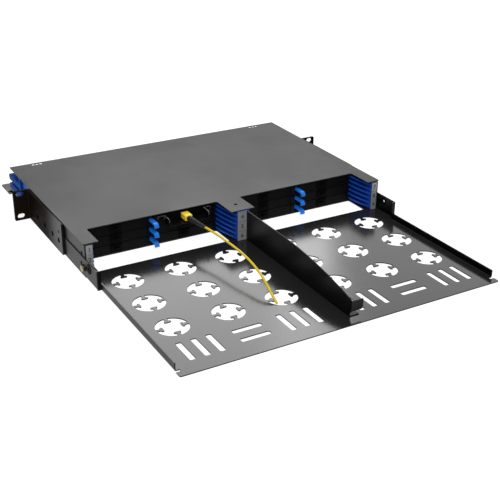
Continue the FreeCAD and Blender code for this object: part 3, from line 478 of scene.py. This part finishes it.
plug_black = grained("plug_black", dark=(0.0014, 0.0014, 0.0016), light=(0.0026, 0.0026, 0.003), smooth=0.5,
                     rough=0.62, grains=1500, edge_highlight=0, shine=0.04)
for name, side in (("keyhole_plug_left", -1), ("keyhole_plug_right", 1)):
    outer_x = side * plug_high.x
    face_x = side * (plug_high.x - rim_depth)
    inner_x = side * (plug_high.x - rim_depth - arm_sheet)
    keyhole_plug = keyhole_disc(rim_radius - rim_step, inner_x, face_x)
    keyhole_plug.name = name
    join_to(keyhole_plug, keyhole_disc(rim_radius, face_x, outer_x), "UNION")
    tail_middle = Vector(((inner_x + face_x) / 2, plug_y, plug_z)) + tail_run.normalized() * tail_length / 2
    join_to(keyhole_plug, block(tail_middle, (arm_sheet, tail_length, tail_width), tail_tilt), "UNION")
    bore = keyhole_disc(bore_radius, inner_x - side * arm_sheet, outer_x + side * arm_sheet)
    join_to(keyhole_plug, bore, "DIFFERENCE")
    coat(keyhole_plug, plug_black)
    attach(keyhole_plug, "chassis")
    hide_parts("keyhole_plugs")


# Yellow jumper: a moulded connector and its soft dark boot, plugged into the upper left tray,
# and a round 3 mm jacket of soft plastic over fibre. It falls in one long curve to a hole of
# the cable tray.
plug_yellow = grained("plug_yellow", dark=(0.98, 0.70, 0.03), light=(1.0, 0.80, 0.06), smooth=0.30,
                      rough=0.38, grains=1200, depth=0.05, edge_highlight=0.1)
paint(plug_yellow, "jumper_plug")
boot_rubber = grained("boot_rubber", dark=(0.010, 0.010, 0.010), light=(0.018, 0.018, 0.018), smooth=0.50,
                      rough=0.62, grains=1500, edge_highlight=0.08, shine=0.3)
paint(boot_rubber, "jumper_boot")
jacket_diameter = 0.003
jacket_route = [
    (-0.05725, -0.20500, 0.03275), (-0.05482, -0.21673, 0.03210), (-0.05260, -0.23250, 0.03140),
    (-0.05090, -0.25450, 0.03060), (-0.04900, -0.27500, 0.02920), (-0.04760, -0.29550, 0.02660),
    (-0.04790, -0.31500, 0.02320), (-0.04840, -0.33190, 0.01880), (-0.04980, -0.34560, 0.01340),
    (-0.05060, -0.35760, 0.00740), (-0.05060, -0.36890, 0.00155)]


def route_mesh(name, points, radius):
    """The mesh of a smooth round curve along a given route, or its plain line at radius 0."""
    data = bpy.data.curves.new(name, "CURVE")
    data.dimensions = "3D"
    data.resolution_u = 10
    data.bevel_depth = radius
    data.bevel_resolution = 5
    data.use_fill_caps = True
    spline = data.splines.new("NURBS")
    spline.points.add(len(points) - 1)
    for point, place in zip(spline.points, points):
        point.co = (*place, 1)
    spline.order_u = 3
    spline.use_endpoint_u = True
    curve = bpy.data.objects.new(name, data)
    bpy.context.collection.objects.link(curve)
    bpy.context.view_layer.update()
    mesh = bpy.data.meshes.new_from_object(curve)
    bpy.data.objects.remove(curve)
    return mesh


jacket_line = [vertex.co.copy() for vertex in route_mesh("jumper_line", jacket_route, 0).vertices]
jacket = bpy.data.objects.new("jumper_jacket", route_mesh("jumper_thick", jacket_route, jacket_diameter / 2))
bpy.context.collection.objects.link(jacket)
jacket.data.polygons.foreach_set("use_smooth", [True] * len(jacket.data.polygons))
jacket_yellow = grained("jacket_yellow", dark=(0.66, 0.47, 0.008), light=(0.78, 0.58, 0.014), smooth=0.42,
                        rough=0.50, grains=1500, depth=0.05, edge_highlight=0, shine=0.3)
coat(jacket, jacket_yellow)
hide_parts("jumper_cable")
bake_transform(jacket)


# Door: a drop-down sheet at the patching side, in the case's black powder. It turns on two
# pins and lies open.
door_coat = grained("door_coat", dark=(0.020, 0.020, 0.020), light=(0.028, 0.028, 0.028), smooth=0.38,
                    rough=0.46, grains=1300, edge_highlight=0.12)
paint(door_coat, "front_door")


# Floor: a wide pale table that the unit lies on. It glows a little, as the photograph's
# ground does, which is almost white all over.
floor_size = 14
floor_gap = 0.0002
bpy.ops.object.select_all(action="DESELECT")
bpy.ops.mesh.primitive_plane_add(size=floor_size, location=(0, 0, cad_box[0][2] - floor_gap))
floor = bpy.context.object
floor.name = "pale_floor"
floor_paint = bpy.data.materials.new("floor_paint")
floor_paint.use_nodes = True
for socket, value in (("Base Color", (0.3, 0.3, 0.3, 1)), ("Roughness", 0.9), ("Specular IOR Level", 0.1),
                      ("Emission Color", (1, 1, 1, 1)), ("Emission Strength", 0.85)):
    surface(floor_paint)[socket].default_value = value
coat(floor, floor_paint)


# Light: an even pale room and four large soft lamps. Two stand low beyond the unit, where the
# tray mirrors them, one hangs above the unit and one above the camera.
lamp_aim = Vector((0, -0.2, 0))
room_seen = 1.0
room_light = 0.32


def soft_lamp(name, azimuth, elevation, distance, width, height, power):
    """A rectangular lamp that faces the unit from a direction, given in degrees from +Y."""
    across = math.cos(math.radians(elevation))
    away = Vector((math.sin(math.radians(azimuth)) * across, math.cos(math.radians(azimuth)) * across,
                   math.sin(math.radians(elevation))))
    bpy.ops.object.light_add(type="AREA", location=lamp_aim + away * distance)
    lamp = bpy.context.object
    lamp.name = name
    lamp.rotation_euler = (-away).to_track_quat("-Z", "Y").to_euler()
    lamp.data.shape = "RECTANGLE"
    lamp.data.size = width
    lamp.data.size_y = height
    lamp.data.energy = power


soft_lamp("back_lamp", azimuth=22, elevation=34, distance=2.4, width=1.3, height=1.0, power=17)
soft_lamp("corner_lamp", azimuth=46, elevation=31, distance=2.4, width=0.9, height=1.0, power=4.5)
soft_lamp("top_lamp", azimuth=0, elevation=80, distance=2.2, width=2.0, height=1.6, power=14)
soft_lamp("front_lamp", azimuth=205, elevation=48, distance=2.4, width=1.2, height=0.8, power=30)
world = bpy.data.worlds.new("pale_room")
bpy.context.scene.world = world
world.use_nodes = True
seen = add_node(world.node_tree, "LightPath", (-2, 0))
pale = add_node(world.node_tree, "MapRange", (-1, 0), {
    "Value": seen.outputs["Is Camera Ray"], "To Min": room_light, "To Max": room_seen})
background = world.node_tree.nodes["Background"]
background.inputs["Color"].default_value = (1, 1, 1, 1)
world.node_tree.links.new(pale.outputs["Result"], background.inputs["Strength"])
bpy.context.scene.view_settings.view_transform = "Standard"


# Camera: it stands in front of the cable tray, to the left and above, where the photograph
# was taken from. The eye, the line of sight, the lens and the small roll are fitted to it.
eye = Vector((-0.55238, -1.16570, 0.52659))
sight = Vector((0.45328, 0.77682, -0.43714))
camera_roll = math.radians(0.73)
bpy.ops.object.select_all(action="DESELECT")
bpy.ops.object.camera_add(location=eye)
camera = bpy.context.object
camera.rotation_mode = "QUATERNION"
camera.rotation_quaternion = sight.to_track_quat("-Z", "Y") @ Quaternion((0, 0, 1), camera_roll)
camera.data.sensor_width = 36
camera.data.lens = 67.65
camera.data.clip_start = 0.05
camera.data.clip_end = 30
bpy.context.scene.camera = camera
